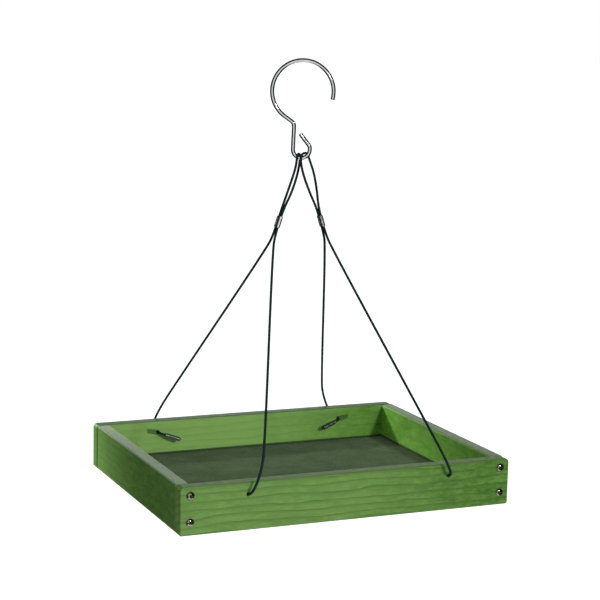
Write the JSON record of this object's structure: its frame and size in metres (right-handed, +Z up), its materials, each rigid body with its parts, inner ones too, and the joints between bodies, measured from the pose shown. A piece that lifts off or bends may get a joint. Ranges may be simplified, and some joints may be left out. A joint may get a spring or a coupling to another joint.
{
  "type": "platform bird feeder",
  "caption": "Hanging platform bird feeder: a shallow green wooden tray with a wire screen floor, hung by looped cables from a bent wire hook.",
  "frame": {"origin": "the point where the hook's big loop rests on what holds the feeder", "axes": "+Z up, +X along the tray's long side, -Y towards the front board"},
  "size_m": [0.38, 0.32, 0.4768],
  "materials": {
    "board_wood": "green stained, satin",
    "screen_wire": "dull dark wire mesh",
    "screw_steel": "dark zinc",
    "sleeve_metal": "pressed, slightly dull",
    "cable_coat": "dark green coating over steel strands",
    "hook_wire": "bright plated wire"
  },
  "bodies": {
    "root": {"front_board": "board_wood", "back_board": "board_wood", "left_board": "board_wood", "right_board": "board_wood", "screen": "screen_wire", "front_left_screws": "screw_steel", "front_right_screws": "screw_steel", "back_left_screws": "screw_steel", "back_right_screws": "screw_steel", "front_left_stop": "sleeve_metal", "front_right_stop": "sleeve_metal", "back_left_stop": "sleeve_metal", "back_right_stop": "sleeve_metal", "left_cable": "cable_coat", "right_cable": "cable_coat", "left_ferrule": "sleeve_metal", "right_ferrule": "sleeve_metal", "hook": "hook_wire"}
  },
  "joints": []
}
